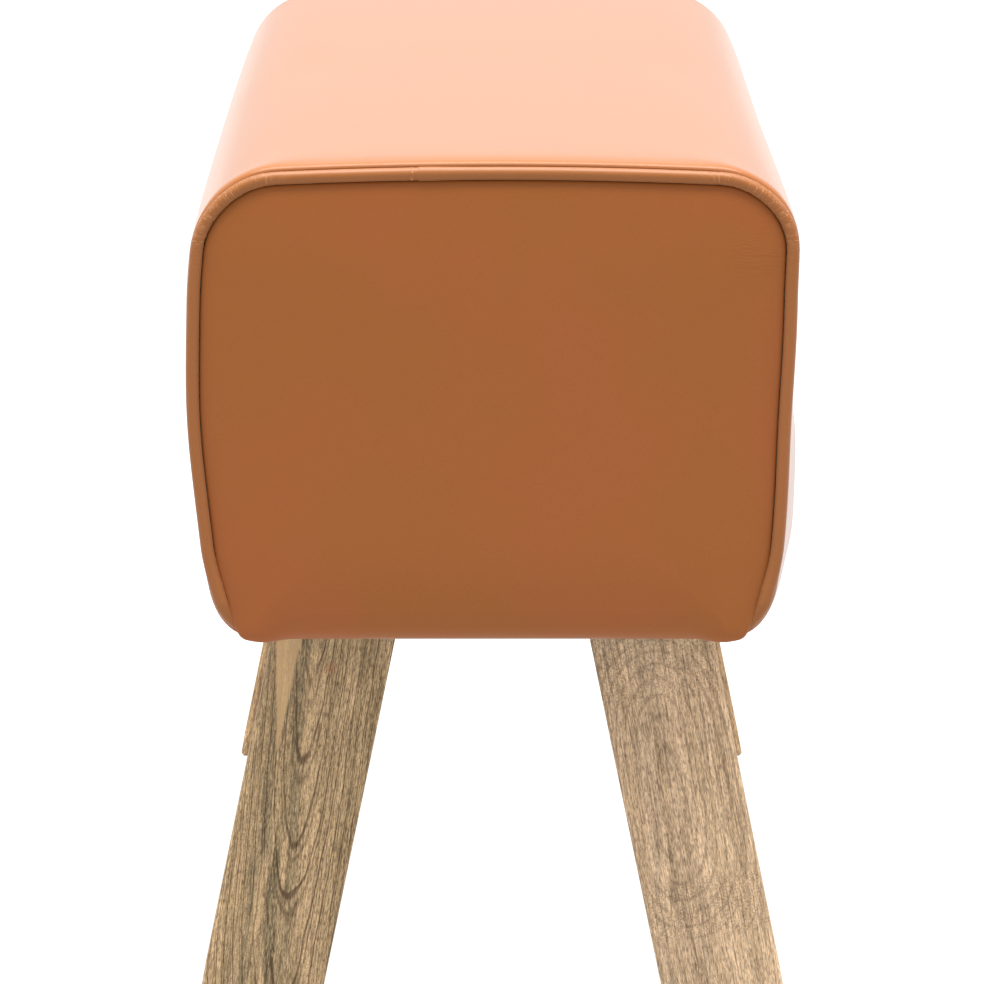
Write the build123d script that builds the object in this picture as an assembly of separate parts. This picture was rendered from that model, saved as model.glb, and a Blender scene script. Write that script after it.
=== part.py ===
from build123d import *
import os
from math import asin, atan2, cos, pi, radians, sin, sqrt, tan

os.makedirs("parts", exist_ok=True)

# Leather-covered bench. Lengthwise along Y, width along X, floor at Z zero.
bench_length = 900
end_width = 320
leg_height = 228
body_height = 251

# Outline of the padded body at its ends, seen along Y
top_crown = 5
shoulder_tuck = 2.5
shoulder_radius = 48
belly_share = 0.68
knuckle_rise = 34
knuckle_tuck = 8
facet_width = 12.5
heel_share = 0.43
knuckle_share = 0.33

# Swell of the body between its ends
side_bulge = 1.5
top_rise = 3
mid_tuck_share = 0.4
swell_power = 8
station_shares = (1, 0.9, 0.75, 0.5, 0)

# Leather cover and its end panels
leather_thickness = 1.2
soft_gap = 0.3
puff_proud = 8
puff_depth = 9
puff_roll = 16
puff_bottom_roll = 14
puff_steps = 4
rim_depth = 6
flap_length = 30
hem_gap = 1.5

# Corded piping
piping_diameter = 6.4
cord_diameter = 3.8
cord_gap = 0.1

# Foam
top_foam = 36
end_foam = 20

# Plywood carcass
base_thickness = 18
board_thickness = 12
rib_spacing = 240
batten_size = 22

# Legs and the blocks they bolt to
leg_size = 66
leg_splay = 11.6
leg_edge_ease = 2
leg_side_setback = 8.8
leg_end_setback = 100
block_height = 40
block_length = 120
block_width = 85

# Bolts, washers and nuts
bolt_diameter = 8
bolt_bite = 0.5
bolt_clearance = 0.5
bolt_depth = 50
bolt_point = 6
bolt_stand = 3
bolt_spacing = 36
washer_diameter = 24
washer_thickness = 2
nut_width = 13
nut_height = 6.5
running_gap = 0.1

# Countersunk wood screws
screw_diameter = 4
screw_head = 8
screw_head_depth = 3.5
screw_length = 40
screw_clearance = 0.3
deck_screw_edge = 70
deck_screw_count = 5
base_screw_spacing = 130

# Dust cover and its staples
dust_thickness = 0.6
dust_overlap = 6
leg_opening_gap = 1
staple_width = 10
staple_wire = 0.7
staple_depth = 8
staple_edge = 20
side_staple_count = 17
end_staple_count = 5

# Nylon glides
glide_diameter = 28
glide_thickness = 4
glide_edge = 1.2
glide_stem_diameter = 5
glide_stem_length = 18

# Overrun of every cut
overrun = 5

# Places worked out from the sizes above
half_width = end_width / 2
half_length = bench_length / 2
seam_y = half_length - puff_proud
rim_y = half_length - puff_depth
body_bottom = leg_height
body_top = leg_height + body_height
facet_length = sqrt(facet_width**2 + knuckle_rise**2)
facet_angle = atan2(knuckle_rise, facet_width)
belly_height = belly_share * body_height
side_lean = asin(2 * knuckle_tuck / (belly_height - knuckle_rise))
heel_radius = heel_share * facet_length / tan(facet_angle / 2)
knuckle_radius = knuckle_share * facet_length / tan((pi / 2 - side_lean - facet_angle) / 2)
flat_half = half_width - knuckle_tuck - facet_width - heel_share * facet_length

piping_radius = piping_diameter / 2
rim_inset = piping_diameter + soft_gap
foam_inset = leather_thickness + soft_gap

base_z = body_bottom + foam_inset
base_top = base_z + base_thickness
deck_top = body_top - top_foam
deck_z = deck_top - board_thickness
board_half = flat_half
board_end = half_length - foam_inset - end_foam
side_inner = board_half - board_thickness
end_inner = board_end - board_thickness

splay_slope = tan(radians(leg_splay))
leg_width = leg_size / cos(radians(leg_splay))
leg_top_x = board_half - leg_side_setback - leg_width / 2
leg_y = board_end - leg_end_setback - leg_size / 2
bolt_x = leg_top_x + splay_slope * bolt_depth / 2
block_top = base_top + block_height
hem_edge = board_half - leg_side_setback + hem_gap
flap_y = board_end - flap_length
dust_half = hem_edge + dust_overlap
dust_end = flap_y + dust_overlap

ends = {"front": -1, "back": 1}
sides = {"left": -1, "right": 1}
corners = [(end, side) for end in ends for side in sides]


def save(name, *solids):
    shape = solids[0] if len(solids) == 1 else Compound(children=list(solids))
    shape.label = name
    export_step(shape, f"parts/{name}.step")


# Box between two opposite corners.
def block(low, high):
    size = [b - a for a, b in zip(low, high)]
    middle = [(a + b) / 2 for a, b in zip(low, high)]
    return Pos(*middle) * Box(*size)


# Outline of the body across one station: flat bottom, heel, leaning facet,
# knuckle, bowed side, round shoulder and crowned top. It is drawn in by inset
# all round, by under at the bottom, and swells with fullness.
def outline(y, inset=0, under=0, fullness=0):
    half = half_width - inset + side_bulge * fullness
    tuck = knuckle_tuck * (1 - (1 - mid_tuck_share) * fullness)
    bottom = body_bottom + under
    top = body_top - inset + top_rise * fullness
    slim = (shoulder_radius - inset) / shoulder_radius
    heel = (half - tuck - facet_width, bottom)
    knuckle = (half - tuck, bottom + knuckle_rise)
    belly = (half, body_bottom + belly_height)
    shoulder = (half - shoulder_tuck, top - top_crown)

    def across(point):
        return (-point[0], point[1])

    edges = [
        Line(across(heel), heel),
        Line(heel, knuckle),
        ThreePointArc(knuckle, belly, shoulder),
        ThreePointArc(shoulder, (0, top), across(shoulder)),
        ThreePointArc(across(shoulder), across(belly), across(knuckle)),
        Line(across(knuckle), across(heel)),
    ]
    face = make_face(edges)
    for corner, radius in (
        (heel, heel_radius),
        (knuckle, knuckle_radius),
        (shoulder, shoulder_radius),
    ):
        for point in (corner, across(corner)):
            nearest = face.vertices().sort_by_distance(Vector(*point))[0]
            face = fillet(nearest, radius * slim)
    return Plane.XZ.offset(-y) * face


# The body between its two seams, drawn in by inset at the top and sides.
def body_form(inset, under):
    shares = [-s for s in station_shares] + list(station_shares[-2::-1])
    faces = []
    for share in shares:
        fullness = 1 - abs(share) ** swell_power
        faces.append(outline(share * seam_y, inset, under, fullness))
    return loft(faces)


# The puffed end: a straight rim running back by rim_back, then a rolled edge
# that ends in a flat face. It is made at the front and turned for the back.
def puff_form(skin, rim_back):
    inset = rim_inset + skin
    faces = []
    for step in range(puff_steps + 1):
        turn = step / puff_steps * pi / 2
        faces.append(
            outline(
                -(rim_y + (puff_depth - skin) * sin(turn)),
                inset + (puff_roll - skin) * (1 - cos(turn)),
                skin + (puff_bottom_roll - skin) * (1 - cos(turn)),
            )
        )
    rim = extrude(outline(-rim_y, inset, skin), -rim_back)
    return rim + loft(faces)


# Turns a piece made at the front end to the end asked for.
def at_end(shape, end):
    return shape if end == "front" else Rot(0, 0, 180) * shape


# Everything of the body between two stations, as a box to cut with.
def slab(y_low, y_high, z_low, z_high):
    reach = half_width + side_bulge + overrun
    return block((-reach, y_low, z_low), (reach, y_high, z_high))


def make_leather_cover():
    shell = body_form(0, 0) - body_form(leather_thickness, leather_thickness)
    reach = seam_y + overrun
    mouth = block(
        (-hem_edge, -reach, body_bottom - overrun),
        (hem_edge, reach, base_z + overrun),
    )
    shell -= mouth
    # The hem stops short of the end panels' rims.
    relief_half = half_width - rim_inset - knuckle_tuck - facet_width
    relief_y = rim_y - rim_depth - soft_gap
    for sign in ends.values():
        shell -= block(
            (-relief_half, min(sign * relief_y, sign * reach), body_bottom - overrun),
            (relief_half, max(sign * relief_y, sign * reach), base_z + overrun),
        )
    save("leather_cover", shell)


def make_leather_ends():
    panel = puff_form(0, rim_depth) - puff_form(leather_thickness, rim_depth + overrun)
    flap_half = hem_edge - soft_gap
    flap = block(
        (-flap_half, -rim_y, body_bottom),
        (flap_half, -flap_y, body_bottom + leather_thickness),
    )
    panel = panel + flap
    for end in ends:
        save(f"leather_end_{end}", at_end(panel, end))


# Path of the piping: the body's outline without its flat bottom.
def piping_path():
    seat = sqrt(piping_radius**2 - (piping_radius - leather_thickness) ** 2) + soft_gap
    face = outline(-(seam_y + seat), piping_radius, piping_radius)
    edges = face.edges().sort_by(Axis.Z)[1:]
    return Wire(edges)


def tube(path, diameter):
    start = Plane(origin=path @ 0, z_dir=path % 0)
    return sweep(start * Circle(diameter / 2), path=path)


def make_pipings():
    path = piping_path()
    panel = puff_form(-soft_gap, rim_depth + overrun)
    bore = tube(path, cord_diameter + 2 * cord_gap)
    welt = tube(path, piping_diameter) - bore - panel
    cord = tube(path, cord_diameter) - panel
    for end in ends:
        save(f"piping_{end}", at_end(welt, end))
        save(f"piping_cord_{end}", at_end(cord, end))


def make_foam():
    inner = body_form(foam_inset, foam_inset)
    crown = body_top + top_rise + overrun
    top = inner & slab(-board_end, board_end, deck_top, crown)
    save("foam_top", top)
    lower = inner & slab(-board_end, board_end, body_bottom, deck_top)
    for side, sign in sides.items():
        reach = half_width + side_bulge + overrun
        low, high = sorted((sign * board_half, sign * reach))
        save(
            f"foam_side_{side}",
            lower & block((low, -board_end, body_bottom), (high, board_end, deck_top)),
        )
    back_y = rim_y - rim_depth - soft_gap
    layer = inner & slab(-back_y, -board_end, body_bottom, crown)
    puff = puff_form(foam_inset, rim_y - board_end)
    pad = layer + puff
    for end in ends:
        save(f"foam_end_{end}", at_end(pad, end))


# Countersunk screw pointing down from the origin, or its clearance hole.
def screw(gap=0):
    radius = screw_diameter / 2 + gap
    head = screw_head / 2 + gap
    shank = Pos(0, 0, -screw_length / 2) * Cylinder(radius, screw_length)
    cone_place = Pos(0, 0, -screw_head_depth / 2)
    cone = cone_place * Cone(radius, head, screw_head_depth)
    return shank + cone


# Places evenly spaced from minus reach to plus reach.
def evenly(reach, count):
    return [reach * (2 * step / (count - 1) - 1) for step in range(count)]


def deck_screw_places():
    x = board_half - board_thickness / 2
    return [
        Pos(sign * x, y, deck_top)
        for sign in sides.values()
        for y in evenly(board_end - deck_screw_edge, deck_screw_count)
    ]


def base_screw_places():
    rows = (board_end - board_thickness / 2, rib_spacing / 2)
    return [
        Pos(sx * base_screw_spacing / 2, sy * y, base_z) * Rot(180, 0, 0)
        for y in rows
        for sy in ends.values()
        for sx in sides.values()
    ]


def bolt_places():
    return [
        (sides[side] * bolt_x, ends[end] * leg_y + shift * bolt_spacing / 2)
        for end, side in corners
        for shift in (-1, 1)
    ]


def bolt_holes(low, high):
    radius = (bolt_diameter + bolt_clearance) / 2
    height = high - low
    return [Pos(x, y, (low + high) / 2) * Cylinder(radius, height) for x, y in bolt_places()]


def make_carcass():
    base = block((-board_half, -board_end, base_z), (board_half, board_end, base_top))
    base -= bolt_holes(base_z - overrun, base_top + overrun)
    base -= [place * screw(screw_clearance) for place in base_screw_places()]
    save("base_board", base)

    deck = block((-board_half, -board_end, deck_z), (board_half, board_end, deck_top))
    deck -= [place * screw(screw_clearance) for place in deck_screw_places()]
    save("top_deck", deck)

    for side, sign in sides.items():
        low, high = sorted((sign * side_inner, sign * board_half))
        board = block((low, -board_end, base_top), (high, board_end, deck_z))
        save(f"side_board_{side}", board)

    for end, sign in ends.items():
        low, high = sorted((sign * end_inner, sign * board_end))
        board = block((-side_inner, low, base_top), (side_inner, high, deck_z))
        save(f"end_board_{end}", board)
        middle = sign * rib_spacing / 2
        rib = block(
            (-side_inner, middle - board_thickness / 2, base_top),
            (side_inner, middle + board_thickness / 2, deck_z),
        )
        save(f"rib_{end}", rib)

    for end, side in corners:
        x_low, x_high = sorted((sides[side] * side_inner, sides[side] * (side_inner - batten_size)))
        y_low, y_high = sorted((ends[end] * end_inner, ends[end] * (end_inner - batten_size)))
        batten = block((x_low, y_low, base_top), (x_high, y_high, deck_z))
        save(f"corner_batten_{end}_{side}", batten)


def make_leg_blocks():
    holes = bolt_holes(base_top - overrun, block_top + overrun)
    for end, side in corners:
        x_low, x_high = sorted((sides[side] * side_inner, sides[side] * (side_inner - block_width)))
        middle = ends[end] * leg_y
        blank = block(
            (x_low, middle - block_length / 2, base_top),
            (x_high, middle + block_length / 2, block_top),
        )
        save(f"leg_block_{end}_{side}", blank - holes)


# One leg: a leaning square post, flat at the floor end and under the base.
def leg_post(end, side):
    sx, sy = sides[side], ends[end]
    foot_x = leg_top_x + splay_slope * (base_z - glide_thickness)
    points = [
        (sx * (leg_top_x - leg_width / 2), base_z),
        (sx * (leg_top_x + leg_width / 2), base_z),
        (sx * (foot_x + leg_width / 2), glide_thickness),
        (sx * (foot_x - leg_width / 2), glide_thickness),
    ]
    face = make_face(Polyline(*points, close=True))
    post = extrude(Plane.XZ.offset(-sy * leg_y) * face, leg_size / 2, both=True)
    upright = [e for e in post.edges() if abs((e % 0).Z) > splay_slope]
    foot = post.faces().sort_by(Axis.Z)[0].edges()
    return chamfer(upright + list(foot), leg_edge_ease)


def make_legs():
    pilot = bolt_diameter / 2 - bolt_bite
    foot_x = leg_top_x + splay_slope * (base_z - glide_thickness)
    for end, side in corners:
        post = leg_post(end, side)
        for x, y in bolt_places():
            post -= Pos(x, y, base_z - bolt_depth / 2) * Cylinder(pilot, bolt_depth)
        stem_place = Pos(
            sides[side] * foot_x,
            ends[end] * leg_y,
            glide_thickness + glide_stem_length / 2,
        )
        post -= stem_place * Cylinder(glide_stem_diameter / 2 + running_gap, glide_stem_length)
        save(f"leg_{end}_{side}", post)

        disc = Pos(0, 0, glide_thickness / 2) * Cylinder(glide_diameter / 2, glide_thickness)
        disc = chamfer(disc.edges().sort_by(Axis.Z)[0], glide_edge)
        stem_height = glide_stem_length - running_gap
        stem = Pos(0, 0, glide_thickness + stem_height / 2) * Cylinder(
            glide_stem_diameter / 2, stem_height
        )
        glide = Pos(sides[side] * foot_x, ends[end] * leg_y, 0) * (disc + stem)
        save(f"glide_{end}_{side}", glide)


def make_bolts():
    washer_top = block_top + washer_thickness
    bolt_top = washer_top + nut_height + bolt_stand
    bolt_bottom = base_z - bolt_depth
    radius = bolt_diameter / 2
    bolts, washers, nuts = [], [], []
    for x, y in bolt_places():
        shank_low = bolt_bottom + bolt_point
        shank = Pos(x, y, (shank_low + bolt_top) / 2) * Cylinder(radius, bolt_top - shank_low)
        point = Pos(x, y, bolt_bottom + bolt_point / 2) * Cone(
            radius - bolt_bite - running_gap, radius, bolt_point
        )
        bolts.append(shank + point)
        hole = Pos(x, y, block_top) * Cylinder(radius + running_gap, 2 * block_height)
        disc = Pos(x, y, block_top + washer_thickness / 2) * Cylinder(
            washer_diameter / 2, washer_thickness
        )
        washers.append(disc - hole)
        hexagon = RegularPolygon(nut_width / 2, 6, major_radius=False)
        nut = extrude(Pos(x, y, washer_top) * hexagon, nut_height)
        nuts.append(nut - hole)
    save("hanger_bolts", *bolts)
    save("leg_washers", *washers)
    save("leg_nuts", *nuts)


def make_screws():
    save("deck_screws", *[place * screw() for place in deck_screw_places()])
    save("base_screws", *[place * screw() for place in base_screw_places()])


def make_dust_cover():
    low = (-dust_half, -dust_end, body_bottom - dust_thickness)
    sheet = block(low, (dust_half, dust_end, body_bottom))
    lean = splay_slope * (foam_inset + dust_thickness)
    for end, side in corners:
        x, y = sides[side] * leg_top_x, ends[end] * leg_y
        x_reach = leg_width / 2 + leg_opening_gap + lean
        y_reach = leg_size / 2 + leg_opening_gap
        sheet -= block(
            (x - x_reach, y - y_reach, body_bottom - overrun),
            (x + x_reach, y + y_reach, body_bottom + overrun),
        )
    save("dust_cover", sheet)


# Staple with its crown along Y, prongs up, its crown's top at the origin.
def staple():
    half = staple_width / 2
    wire = staple_wire / 2
    crown = block((-wire, -half, -staple_wire), (wire, half, 0))
    prongs = [
        block((-wire, y - wire, -wire), (wire, y + wire, staple_depth))
        for y in (wire - half, half - wire)
    ]
    return crown + prongs


def make_staples():
    z = body_bottom - dust_thickness
    x = hem_edge + dust_overlap / 2
    rows = [
        Pos(sign * x, y, z) * staple()
        for sign in sides.values()
        for y in evenly(dust_end - staple_edge, side_staple_count)
    ]
    save("side_staples", *rows)
    y = flap_y + dust_overlap / 2
    rows = [
        Pos(x, sign * y, z) * Rot(0, 0, 90) * staple()
        for sign in ends.values()
        for x in evenly(dust_half - staple_edge, end_staple_count)
    ]
    save("end_staples", *rows)


make_leather_cover()
make_leather_ends()
make_pipings()
make_foam()
make_carcass()
make_leg_blocks()
make_legs()
make_bolts()
make_screws()
make_dust_cover()
make_staples()
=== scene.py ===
from math import cos, exp, hypot, pi, radians, sin, sqrt

import bmesh
import bpy
from mathutils import Matrix, Vector, noise


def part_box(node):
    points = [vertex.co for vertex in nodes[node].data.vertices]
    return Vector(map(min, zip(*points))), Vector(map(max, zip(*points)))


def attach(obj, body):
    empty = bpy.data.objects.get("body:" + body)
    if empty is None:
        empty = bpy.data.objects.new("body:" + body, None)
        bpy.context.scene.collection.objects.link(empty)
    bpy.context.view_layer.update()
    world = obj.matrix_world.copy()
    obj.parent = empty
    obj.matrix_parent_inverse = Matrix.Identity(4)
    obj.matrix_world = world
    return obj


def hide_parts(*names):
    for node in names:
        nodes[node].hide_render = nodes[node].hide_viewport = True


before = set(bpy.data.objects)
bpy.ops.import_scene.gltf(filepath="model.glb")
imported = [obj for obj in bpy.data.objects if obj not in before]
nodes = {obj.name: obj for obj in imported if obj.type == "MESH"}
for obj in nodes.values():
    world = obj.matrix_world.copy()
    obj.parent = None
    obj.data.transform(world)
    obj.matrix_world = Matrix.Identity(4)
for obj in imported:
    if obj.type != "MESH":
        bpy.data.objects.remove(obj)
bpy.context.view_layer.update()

mm = 0.001
scene = bpy.context.scene
ends = {"front": -1, "back": 1}
sides = {"left": -1, "right": 1}
corners = [(end, side) for end in ends for side in sides]
coverLow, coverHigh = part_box("leather_cover")


# Small helpers

def smoothStep(low, high, value):
    t = min(max((value - low) / (high - low), 0), 1)
    return t * t * (3 - 2 * t)


def bump(value, centre, reach):        # a soft hill of height 1
    return exp(-(((value - centre) / reach) ** 2))


def linear(colour):        # sRGB hex to the linear values that the shaders use
    channels = [int(colour[i:i + 2], 16) / 255 for i in (1, 3, 5)]
    return [c / 12.92 if c <= 0.04045 else ((c + 0.055) / 1.055) ** 2.4 for c in channels] + [1]


def newPiece(name, bm, material):
    mesh = bpy.data.meshes.new(name)
    bm.to_mesh(mesh)
    bm.free()
    piece = bpy.data.objects.new(name, mesh)
    scene.collection.objects.link(piece)
    mesh.materials.append(material)
    mesh.shade_smooth()
    return piece


# Makes the faces agree, and turns them all away from a point inside the piece.
def faceOutwards(bm, inside):
    bm.normal_update()
    bmesh.ops.recalc_face_normals(bm, faces=bm.faces[:])
    bm.normal_update()
    outward = sum(f.calc_area() * f.normal.dot(f.calc_center_median() - inside) for f in bm.faces)
    if outward < 0:
        bmesh.ops.reverse_faces(bm, faces=bm.faces[:])


def applyModifiers(piece):
    graph = bpy.context.evaluated_depsgraph_get()
    mesh = bpy.data.meshes.new_from_object(piece.evaluated_get(graph))
    piece.modifiers.clear()
    piece.data = mesh


# The padding of the front end has settled a little to one side, and the lower
# corners of the whole body have sunk outwards.
settling = {
    "top": 2.4 * mm,
    "low": 405 * mm,
    "high": 465 * mm,
    "belly": 1.8 * mm,
    "bellyAt": 345 * mm,
    "bellyReach": 45 * mm,
    "heel": 2.6 * mm,
    "heelAt": 246 * mm,
    "heelReach": 14 * mm,
    "heelDrop": 1.4 * mm,
    "heelDropAt": (135 * mm, 234 * mm),
    "heelDropReach": 10 * mm,
}


def settle(piece):
    dropX, dropZ = settling["heelDropAt"]
    for vert in piece.data.vertices:
        near = max(-vert.co.y / seamY, 0)
        lean = settling["top"] * smoothStep(settling["low"], settling["high"], vert.co.z)
        lean -= settling["belly"] * bump(vert.co.z, settling["bellyAt"], settling["bellyReach"])
        heel = settling["heel"] * bump(vert.co.z, settling["heelAt"], settling["heelReach"])
        sunk = bump(abs(vert.co.x), dropX, settling["heelDropReach"])
        sunk *= bump(vert.co.z, dropZ, settling["heelDropReach"])
        vert.co.x += near * lean + heel * (vert.co.x / halfWidth) ** 3
        vert.co.z -= settling["heelDrop"] * sunk


def finishShell(piece, wall, levels):
    skin = piece.modifiers.new("wall", "SOLIDIFY")
    skin.thickness = wall
    skin.offset = -1
    skin.use_even_offset = True
    smooth = piece.modifiers.new("smooth", "SUBSURF")
    smooth.levels = smooth.render_levels = levels
    applyModifiers(piece)
    piece.data.shade_smooth()


def finishPiece(piece, slot, *replaced):
    settle(piece)
    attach(piece, "root")
    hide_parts(*replaced)


def mirrored(piece, name):        # the same piece turned half way round the bench
    twin = piece.copy()
    twin.data = piece.data.copy()
    twin.name = twin.data.name = name
    scene.collection.objects.link(twin)
    twin.data.transform(Matrix.Rotation(pi, 4, "Z"))
    return twin


# Materials

def add(tree, kind, inputs, out=0, **settings):        # adds a node and gives back one of its outputs
    node = tree.nodes.new("ShaderNode" + kind)
    for name, value in settings.items():
        setattr(node, name, value)
    for name, value in inputs.items():
        if isinstance(value, bpy.types.NodeSocket):
            tree.links.new(value, node.inputs[name])
        else:
            node.inputs[name].default_value = value
    return node.outputs[out]


def feed(tree, shader, inputs):        # sets or links a shader's own inputs
    for name, value in inputs.items():
        if isinstance(value, bpy.types.NodeSocket):
            tree.links.new(value, shader.inputs[name])
        else:
            shader.inputs[name].default_value = value


def newMaterial(name):
    material = bpy.data.materials.new(name)
    material.use_nodes = True
    tree = material.node_tree
    place = add(tree, "TexCoord", {}, "Object")
    return material, tree, tree.nodes["Principled BSDF"], place


def blended(tree, share, first, second, how="MIX"):
    return add(tree, "Mix", {0: share, 6: first, 7: second}, 2, data_type="RGBA", blend_type=how)


# Cowhide with a pigmented top coat: even colour, fine pore grain, a soft shine
# that turns pale where the surface is seen edge on.
leather = {
    "colour": "#864b18",
    "patch": "#894a1b",
    "patchSize": 90 * mm,
    "poreSize": 0.9 * mm,
    "poreDepth": 0.02 * mm,
    "unevenSize": 14 * mm,
    "unevenDepth": 0.03 * mm,
    "roughness": 0.4,
    "unevenGloss": 0.03,
    "specular": 0.22,
    "sheen": 0.07,
    "sheenRoughness": 0.55,
    "ior": 1.5,
}
polishedSeatLeatherPaintedPale = leather | {        # polished by use, so the grain is hardly raised; its colour is painted paler than the panels' leather, as painted light from the strong overhead light
    "colour": "#8f5c37",
    "patch": "#905b38",
    "poreDepth": 0.004 * mm,
    "unevenDepth": 0,
    "unevenGloss": 0,
    "roughness": 0.2,
    "specular": 0.12,
    "sheen": 0,
}
cordLeather = leather | {"colour": "#855024", "patch": "#885126", "roughness": 0.4}


def pigmentedLeather(name, look, creases=()):
    material, tree, shader, place = newMaterial(name)
    patches = add(tree, "TexNoise", {"Vector": place, "Scale": 1 / look["patchSize"], "Detail": 2})
    share = add(tree, "MapRange", {"Value": patches, "From Min": 0.42, "From Max": 0.62})
    colour = blended(tree, share, linear(look["colour"]), linear(look["patch"]))
    pores = add(tree, "TexVoronoi", {"Vector": place, "Scale": 1 / look["poreSize"]}, feature="SMOOTH_F1")
    shade = add(tree, "MapRange", {"Value": pores, "From Min": 0.1, "From Max": 0.9, "To Min": 1.03,
                                   "To Max": 0.94})
    uneven = add(tree, "TexNoise", {"Vector": place, "Scale": 1 / look["unevenSize"], "Detail": 3})
    smooth, rough = look["roughness"] - look["unevenGloss"], look["roughness"] + look["unevenGloss"]
    gloss = add(tree, "MapRange", {"Value": uneven, "From Min": 0.3, "From Max": 0.7, "To Min": smooth,
                                   "To Max": rough})
    waves = add(tree, "Bump", {"Height": uneven, "Distance": look["unevenDepth"], "Strength": 0.5})
    grain = {"Height": pores, "Distance": look["poreDepth"], "Strength": 0.6, "Normal": waves}
    top = add(tree, "Bump", grain, invert=True)
    for where, stretch, reach, depth in creases:        # fine creases drawn out by the seam
        spaced = add(tree, "Mapping", {"Vector": place, "Scale": stretch})
        lines = add(tree, "TexNoise", {"Vector": spaced, "Scale": 1, "Detail": 1, "Distortion": 0.6})
        away = add(tree, "VectorMath", {0: place, 1: where}, "Value", operation="DISTANCE")
        near = add(tree, "MapRange", {"Value": away, "From Min": reach, "From Max": 0.25 * reach},
                   interpolation_type="SMOOTHSTEP")
        height = add(tree, "Math", {0: lines, 1: near}, operation="MULTIPLY")
        top = add(tree, "Bump", {"Height": height, "Distance": depth, "Normal": top})
    feed(tree, shader, {
        "Base Color": add(tree, "HueSaturation", {"Value": shade, "Color": colour}),
        "Roughness": gloss,
        "IOR": look["ior"],
        "Specular IOR Level": look["specular"],
        "Sheen Weight": look["sheen"],
        "Sheen Roughness": look["sheenRoughness"],
        "Normal": top,
    })
    return material


# Rough-sanded mango wood with a dry oil finish: growth rings met at a slant,
# grey stain streaks, open pores as short dark flecks, hardly any shine.
wood = {
    "fleckWidth": 0.5 * mm,
    "fleckLength": 3 * mm,
    "dotWidth": 0.75 * mm,
    "dotLength": 1 * mm,
    "grainWidth": 0.75 * mm,
    "grainLength": 5 * mm,
    "fibreWidth": 0.9 * mm,
    "fibreLength": 32 * mm,
    "bandWidth": 8 * mm,
    "bandLength": 150 * mm,
    "wobble": 3.5 * mm,
    "wobbleSize": 40 * mm,
    "poreDepth": 0.12 * mm,
    "lineWidth": 1.1 * mm,
    "lineLength": 60 * mm,
    "roughness": 0.75,
    "ior": 1.45,
    "specular": 0.2,
    "stainWidth": 6 * mm,
    "stainLength": 70 * mm,
    "breakWidth": 9 * mm,
    "breakLength": 45 * mm,
    "diveWidth": 14 * mm,
    "diveLength": 60 * mm,
    "faceY": -33 * mm,
    "gumMark": "#a8552c",
    "gumReach": (5 * mm, 1 * mm),
    "diveFrom": (44 * mm, 56 * mm),
    "diveFoot": (-92 * mm, -80 * mm),
    "ringFoot": (-95 * mm, -78 * mm),
    "streakEdge": (-0.6 * mm, 1.2 * mm),
    "sapwood": "#c9a67a",
    "splay": radians(11.6),
}
# A pith is (across, along Y) from the leg's middle. bow bends the rings round the height
# bowAt, and lines says how dark a ring is on its way out, as (place, darkness).
legLooks = {
    "front_left": dict(
        pale="#caab83", mid="#a88f6b", dark="#402c1c", flecks=0.5, dots=0.6,
        stain="#71684f", stainShare=0.75, stainAt=(-13 * mm, 12 * mm),
        pith=(-1.5 * mm, -46 * mm), tilt=-0.085, bow=0, bowAt=0, ring=3.7 * mm, ringShare=0.74,
        lines=((0, 0), (0.05, 1), (0.12, 0.9), (0.18, 0.1), (0.28, 0.05), (0.33, 0.6), (0.39, 0.5),
               (0.45, 0), (1, 0)),
        lean=radians(5), seed=1.3, streak=(-17 * mm, 7.5 * mm, 18 * mm, 86 * mm), mark=(8 * mm, 72 * mm),
    ),
    "front_right": dict(
        pale="#dabb98", mid="#c2a583", dark="#4c3624", flecks=0.42, dots=1,
        stain="#958370", stainShare=0.3, stainAt=(-16 * mm, 14 * mm),
        pith=(-6 * mm, -40 * mm), tilt=0.0, bow=4.2, bowAt=2 * mm, ring=4.6 * mm, ringShare=0.3,
        lines=((0, 0), (0.12, 0.9), (0.2, 1), (0.34, 0.1), (1, 0)),
        lean=radians(-2), seed=7.7, streak=None, mark=None,
    ),
    "back_left": dict(
        pale="#c4a27a", mid="#9f815e", dark="#58442f", flecks=0.55, dots=0.4,
        stain="#756a57", stainShare=0.5, stainAt=(8 * mm, 12 * mm),
        pith=(9 * mm, 50 * mm), tilt=-0.12, bow=0, bowAt=0, ring=4.2 * mm, ringShare=0.45,
        lines=((0, 0), (0.08, 1), (0.2, 0.1), (1, 0)),
        lean=radians(1.5), seed=12.1, streak=None, mark=None,
    ),
    "back_right": dict(
        pale="#c6a47d", mid="#a28562", dark="#5c4733", flecks=0.55, dots=0.4,
        stain="#7a6d5a", stainShare=0.4, stainAt=(-5 * mm, 15 * mm),
        pith=(-12 * mm, 46 * mm), tilt=0.1, bow=0, bowAt=0, ring=3.8 * mm, ringShare=0.45,
        lines=((0, 0), (0.08, 1), (0.2, 0.1), (1, 0)),
        lean=radians(-2), seed=18.4, streak=None, mark=None,
    ),
}


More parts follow.
